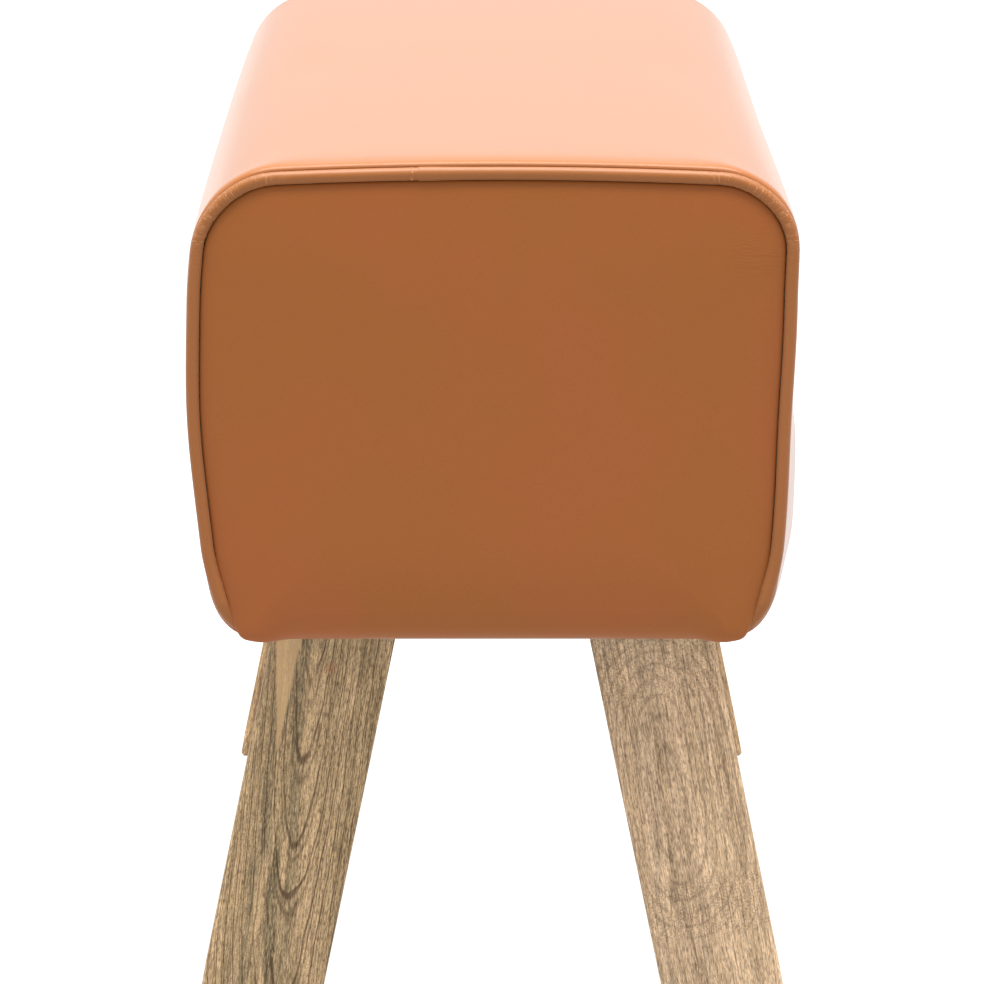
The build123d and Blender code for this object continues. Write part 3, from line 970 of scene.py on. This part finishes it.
def twistedCord(name, look):
    material, tree, shader, place = newMaterial(name)
    slanted = add(tree, "Mapping", {"Vector": place, "Rotation": look["slant"]})
    strandScale = pi / 10 / look["strand"]
    strands = add(tree, "TexWave", {"Vector": slanted, "Scale": strandScale, "Distortion": 0.5}, "Fac")
    feed(tree, shader, {
        "Base Color": blended(tree, strands, linear(look["deep"]), linear(look["pale"])),
        "Roughness": 0.9,
        "IOR": 1.5,
        "Normal": add(tree, "Bump", {"Height": strands, "Distance": look["relief"]}),
    })
    return material


# Fine creases drawn out by the seam at one upper corner: place, lines per metre, reach and depth.
panelCreases = [
    (Vector((139, -448, 434)) * mm, (1 / (6 * mm), 1 / (6 * mm), 1 / (1.1 * mm)), 20 * mm, 0.3 * mm),
]
coverLeather = pigmentedLeather("pigmented_cowhide", polishedSeatLeatherPaintedPale)
panelLeather = pigmentedLeather("pigmented_cowhide_panel", leather, panelCreases)
pipingLeather = pigmentedLeather("cowhide_over_cord", cordLeather)
addCreasesAndPaintedHighlights(pipingLeather)
makeCover(coverLeather)
makePanel(panelLeather)
makePiping(pipingLeather, twistedCord("twisted_filler_cord", cordFill))


# Foam pads
# Cut blocks of open-cell polyurethane foam: pale, matt, full of small round cells.
foam = {
    "pale": "#f0e7c8",
    "deep": "#cdbf94",
    "cell": 1.6 * mm,
    "cellDepth": 0.5 * mm,
    "voxel": 6 * mm,
    "slack": 0.4 * mm,
    "easing": 3,
    "squeezedFrom": 420 * mm,
    "squeeze": 0.16,
}


def foamBlock(name):
    material, tree, shader, place = newMaterial(name)
    cells = add(tree, "TexVoronoi", {"Vector": place, "Scale": 1 / foam["cell"]})
    feed(tree, shader, {
        "Base Color": blended(tree, cells, linear(foam["deep"]), linear(foam["pale"])),
        "Roughness": 0.95,
        "IOR": 1.49,
        "Normal": add(tree, "Bump", {"Height": cells, "Distance": foam["cellDepth"], "Strength": 0.7}),
    })
    return material


def makePad(name, material):
    bm = bmesh.new()
    bm.from_mesh(nodes[name].data)
    bmesh.ops.remove_doubles(bm, verts=bm.verts[:], dist=0.01 * mm)
    pad = newPiece(f"{name}_pad", bm, material)
    even = pad.modifiers.new("even", "REMESH")
    even.mode, even.voxel_size, even.use_smooth_shade = "VOXEL", foam["voxel"], True
    ease = pad.modifiers.new("ease", "SMOOTH")
    ease.factor, ease.iterations = 0.5, foam["easing"]
    applyModifiers(pad)
    for vert, normal in zip(pad.data.vertices, [v.normal.copy() for v in pad.data.vertices]):
        vert.co -= foam["slack"] * normal
        outer = abs(vert.co.y) - foam["squeezedFrom"]
        if name.startswith("foam_end") and outer > 0:        # pressed flat by the end panel
            squeeze = min(foam["squeeze"] * outer + turnedUnder(vert.co)[1], outer)
            vert.co.y += squeeze if vert.co.y < 0 else -squeeze
    finishPiece(pad, "foam", name)


foamMaterial = foamBlock("open_cell_polyurethane_foam")
for name in sorted(nodes):
    if name.startswith("foam_"):
        makePad(name, foamMaterial)
print("the foam pads are done")


# Dust cover
# Black spunbonded polypropylene: thin, matt, pressed in a small point pattern.
dustCover = {
    "colour": "#1c1c1f",
    "thread": "#34343a",
    "pointSpacing": 1.3 * mm,
    "pointDepth": 0.08 * mm,
    "thickness": 0.4 * mm,
    "grid": 9 * mm,
    "legGap": 1.4 * mm,
    "legWidth": 67.4 * mm,
    "border": 8 * mm,
    "slack": 0.1 * mm,
    "sag": 3.5 * mm,
    "ripple": 0.7 * mm,
    "rippleSize": 38 * mm,
}
dustLow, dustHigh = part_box("dust_cover")


def spunbond(name):
    material, tree, shader, place = newMaterial(name)
    spacing = dustCover["pointSpacing"]
    points = add(tree, "TexVoronoi", {"Vector": place, "Scale": 1 / spacing, "Randomness": 0.25})
    threads = add(tree, "TexNoise", {"Vector": place, "Scale": 2 / spacing, "Detail": 4})
    feed(tree, shader, {
        "Base Color": blended(tree, threads, linear(dustCover["colour"]), linear(dustCover["thread"])),
        "Roughness": 0.8,
        "IOR": 1.49,
        "Normal": add(tree, "Bump", {"Height": points, "Distance": dustCover["pointDepth"]}),
    })
    return material


def legOpening(end, side):        # lowest and highest corner of the cut for one leg
    legLow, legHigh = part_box(f"leg_{end}_{side}")
    inner = min(abs(legLow.x), abs(legHigh.x)) - dustCover["legGap"]
    outer = inner + dustCover["legWidth"] + 2 * dustCover["legGap"]
    xLow, xHigh = sorted((sides[side] * inner, sides[side] * outer))
    return (xLow, legLow.y - dustCover["legGap"]), (xHigh, legHigh.y + dustCover["legGap"])


def makeDustCover():
    width, length = dustHigh.x - dustLow.x, dustHigh.y - dustLow.y
    bm = bmesh.new()
    columns, rows = int(width / dustCover["grid"]), int(length / dustCover["grid"])
    bmesh.ops.create_grid(bm, x_segments=columns, y_segments=rows, size=0.5)
    bmesh.ops.scale(bm, vec=(width, length, 1), verts=bm.verts[:])
    area = width * length
    for corner in corners:
        low, high = legOpening(*corner)
        for axis in (0, 1):
            for level in (low[axis], high[axis]):
                spot, way = Vector(), Vector()
                spot[axis], way[axis] = level, 1
                whole = bm.verts[:] + bm.edges[:] + bm.faces[:]
                bmesh.ops.bisect_plane(bm, geom=whole, plane_co=spot, plane_no=way)
        cut = [f for f in bm.faces if all(low[i] < f.calc_center_median()[i] < high[i] for i in (0, 1))]
        bmesh.ops.delete(bm, geom=cut, context="FACES")
        area -= (high[0] - low[0]) * (high[1] - low[1])
    for vert in bm.verts:        # it is tight along the staples and sags between them
        inside = min(dustHigh.x - abs(vert.co.x), dustHigh.y - abs(vert.co.y))
        free = smoothStep(dustCover["border"], 5 * dustCover["border"], inside)
        ripple = noise.noise(vert.co / dustCover["rippleSize"])
        hang = dustCover["sag"] + ripple * dustCover["ripple"]
        vert.co.z = dustHigh.z - dustCover["slack"] - free * hang
    bmesh.ops.reverse_faces(bm, faces=bm.faces[:])
    piece = newPiece("dust_cover_sheet", bm, spunbond("black_spunbonded_polypropylene"))
    wall = piece.modifiers.new("wall", "SOLIDIFY")
    wall.thickness, wall.offset = dustCover["thickness"], 1
    applyModifiers(piece)
    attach(piece, "root")
    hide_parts("dust_cover")
    print("the dust cover is done")


makeDustCover()


# Hidden structure
# Poplar plywood as sawn: pale faces with a faint long grain, and thin plies on the edges.
plywood = {"pale": "#d9bd8f", "deep": "#b48f60", "ply": 2 * mm, "grainWidth": 3 * mm,
           "grainLength": 90 * mm}
# Sawn beech: pinkish brown with short dark flecks, fuzzy from the saw.
blockWood = {"pale": "#c9a377", "deep": "#9d7649", "grainWidth": 1.2 * mm, "grainLength": 18 * mm}
# Bright zinc on steel: cool grey, smooth, hardly clouded.
zinc = {"pale": "#d6d8da", "deep": "#b3b7bc", "cloud": 5 * mm, "roughness": 0.28}
# Galvanised wire: duller and rougher than the plated screws.
wire = {"pale": "#b9bbbd", "deep": "#8e9194", "cloud": 2 * mm, "roughness": 0.46}
# Moulded nylon: dark brown, waxy, faintly grained by the mould.
nylon = {"pale": "#35302b", "deep": "#27231f", "cloud": 6 * mm, "roughness": 0.5}


def sawnWood(name, look, grainAxis, plyAxis=None):
    material, tree, shader, place = newMaterial(name)
    scale = [1 / look["grainWidth"]] * 3
    scale[grainAxis] = 1 / look["grainLength"]
    drawn = add(tree, "Mapping", {"Vector": place, "Scale": scale})
    grain = add(tree, "TexNoise", {"Vector": drawn, "Scale": 1, "Detail": 4})
    share = add(tree, "MapRange", {"Value": grain, "From Min": 0.3, "From Max": 0.7})
    colour = blended(tree, share, linear(look["deep"]), linear(look["pale"]))
    if plyAxis is not None:        # every second ply shows its end grain on the edges
        parts = add(tree, "SeparateXYZ", {"Vector": place}).node.outputs
        fold = add(tree, "Math", {0: parts[plyAxis], 1: look["ply"]}, operation="PINGPONG")
        layer = add(tree, "MapRange", {"Value": fold, "From Min": 0.35 * look["ply"],
                                       "From Max": 0.65 * look["ply"], "To Max": 0.4})
        colour = blended(tree, layer, colour, linear(look["deep"]))
    feed(tree, shader, {
        "Base Color": colour,
        "Roughness": 0.75,
        "IOR": 1.45,
        "Normal": add(tree, "Bump", {"Height": grain, "Distance": 0.1 * mm, "Strength": 0.6}),
    })
    return material


def clouded(name, look, metallic):
    material, tree, shader, place = newMaterial(name)
    cloud = add(tree, "TexNoise", {"Vector": place, "Scale": 1 / look["cloud"], "Detail": 3})
    gloss = {"Value": cloud, "To Min": look["roughness"] + 0.08, "To Max": look["roughness"] - 0.05}
    feed(tree, shader, {
        "Base Color": blended(tree, cloud, linear(look["deep"]), linear(look["pale"])),
        "Roughness": add(tree, "MapRange", gloss),
        "Metallic": metallic,
    })
    if not metallic:
        feed(tree, shader, {"IOR": 1.53})
    return material


def atCorners(kind):
    return [f"{kind}_{end}_{side}" for end, side in corners]


def dress(names, material):
    for name in names:
        nodes[name].data.materials.clear()
        nodes[name].data.materials.append(material)


dress(("base_board", "top_deck"), sawnWood("poplar_plywood_flat", plywood, 1, 2))
dress(("side_board_left", "side_board_right"), sawnWood("poplar_plywood_sides", plywood, 1, 0))
dress(("end_board_front", "end_board_back", "rib_front", "rib_back"),
      sawnWood("poplar_plywood_cross", plywood, 0, 1))
dress(atCorners("leg_block"), sawnWood("sawn_beech_blocks", blockWood, 1))
dress(atCorners("corner_batten"), sawnWood("sawn_beech_battens", blockWood, 2))
dress(("hanger_bolts", "leg_washers", "leg_nuts", "deck_screws", "base_screws"),
      clouded("zinc_plated_steel", zinc, 1))
dress(("side_staples", "end_staples"), clouded("galvanised_staple_wire", wire, 1))
dress(atCorners("glide"), clouded("moulded_nylon", nylon, 0))
print("the hidden structure has its materials")


# Legs

for end, side in corners:
    name = f"leg_{end}_{side}"
    legLow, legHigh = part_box(name)
    look = legLooks[f"{end}_{side}"]
    turn = sides[side] * wood["splay"] + look["lean"]
    dress([name], mangoWood(f"mango_wood_{end}_{side}", look, (legLow + legHigh) / 2, turn))
print("the legs are done")
